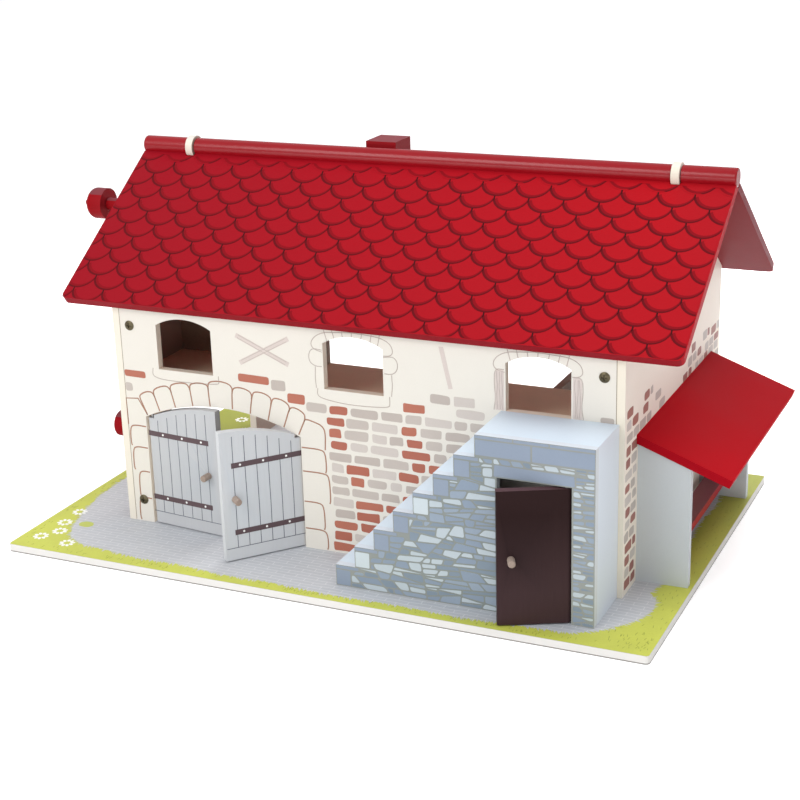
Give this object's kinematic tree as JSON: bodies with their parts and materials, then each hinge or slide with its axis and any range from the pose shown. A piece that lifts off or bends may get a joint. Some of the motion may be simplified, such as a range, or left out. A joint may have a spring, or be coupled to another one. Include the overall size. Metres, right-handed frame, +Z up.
{
  "type": "toy barn",
  "caption": "Wooden toy barn on a base board, with a lifting front roof, arched double doors, an outside stair over a small cellar, a lean-to and a gable hoist.",
  "frame": {"origin": "middle of the base board's underside", "axes": "+X along the front wall from the left gable to the lean-to, +Y from the front wall to the open back, +Z up"},
  "size_m": [0.5716, 0.338, 0.2866],
  "materials": {
    "base_print": "satin printed board",
    "plaster_print": "satin printed board",
    "raw_wood": "raw sanded wood",
    "raw_board": "raw fibreboard",
    "stained_board": "dark stained board",
    "screw_bronze": "dark bronze",
    "red_paint": "satin red paint",
    "dark_red_paint": "satin dark red paint",
    "tile_print": "satin printed board",
    "rear_board": "red above, cream below",
    "door_print": "satin printed board",
    "stone_print": "satin printed board",
    "grey_paint": "satin light grey paint",
    "brown_paint": "satin dark brown paint",
    "pin_steel": "plain steel"
  },
  "bodies": {
    "barn": {"base_board": "base_print", "front_wall": "plaster_print", "left_gable": "plaster_print", "right_gable": "plaster_print", "left_post": "raw_wood", "right_post": "raw_wood", "wall_screws": "screw_bronze", "loft_floor": "raw_board", "floor_battens": "raw_wood", "loft_back_wall": "stained_board", "stall_partition": "stained_board", "rear_roof": "rear_board", "chimney": "dark_red_paint", "left_door_pins": "pin_steel", "right_door_pins": "pin_steel", "stair_front": "stone_print", "stair_treads": "grey_paint", "stair_risers": "grey_paint", "stair_landing": "grey_paint", "stair_side": "grey_paint", "cellar_door_pins": "pin_steel", "lean_to_roof": "tile_print", "lean_to_front_panel": "grey_paint", "lean_to_rear_panel": "grey_paint", "manger": "dark_red_paint", "hoist_arm": "dark_red_paint", "hoist_spindle": "dark_red_paint", "winch_spindle": "dark_red_paint"},
    "lid": {"front_roof": "tile_print", "ridge_pole": "red_paint", "left_ridge_end": "red_paint", "right_ridge_end": "red_paint"},
    "left_leaf": {"left_door": "door_print", "left_door_knob": "raw_wood"},
    "right_leaf": {"right_door": "door_print", "right_door_knob": "raw_wood"},
    "cellar_leaf": {"cellar_door": "brown_paint", "cellar_door_knob": "raw_wood"},
    "hoist": {"hoist_wheel": "dark_red_paint"},
    "winch": {"winch_drum": "dark_red_paint"}
  },
  "joints": [
    {"name": "front_roof_hinge", "type": "hinge", "parent": "barn", "child": "lid", "pos_m": [0.01, 0.0365, 0.2763], "axis": [-1, 0, 0], "range_deg": [0, 160]},
    {"name": "left_door_hinge", "type": "hinge", "parent": "barn", "child": "left_leaf", "pos_m": [-0.1634, -0.088, 0.006], "axis": [0, 0, -1], "range_deg": [-6, 89]},
    {"name": "right_door_hinge", "type": "hinge", "parent": "barn", "child": "right_leaf", "pos_m": [-0.039, -0.088, 0.006], "axis": [0, 0, 1], "range_deg": [-50, 45]},
    {"name": "cellar_door_hinge", "type": "hinge", "parent": "barn", "child": "cellar_leaf", "pos_m": [0.1859, -0.138, 0.006], "axis": [0, 0, 1], "range_deg": [-26, 69]},
    {"name": "hoist_wheel_turn", "type": "hinge", "parent": "barn", "child": "hoist", "pos_m": [-0.281, 0.0365, 0.2245], "axis": [1, 0, 0], "continuous": true},
    {"name": "winch_drum_turn", "type": "hinge", "parent": "barn", "child": "winch", "pos_m": [-0.208, -0.042, 0.065], "axis": [1, 0, 0], "continuous": true}
  ]
}
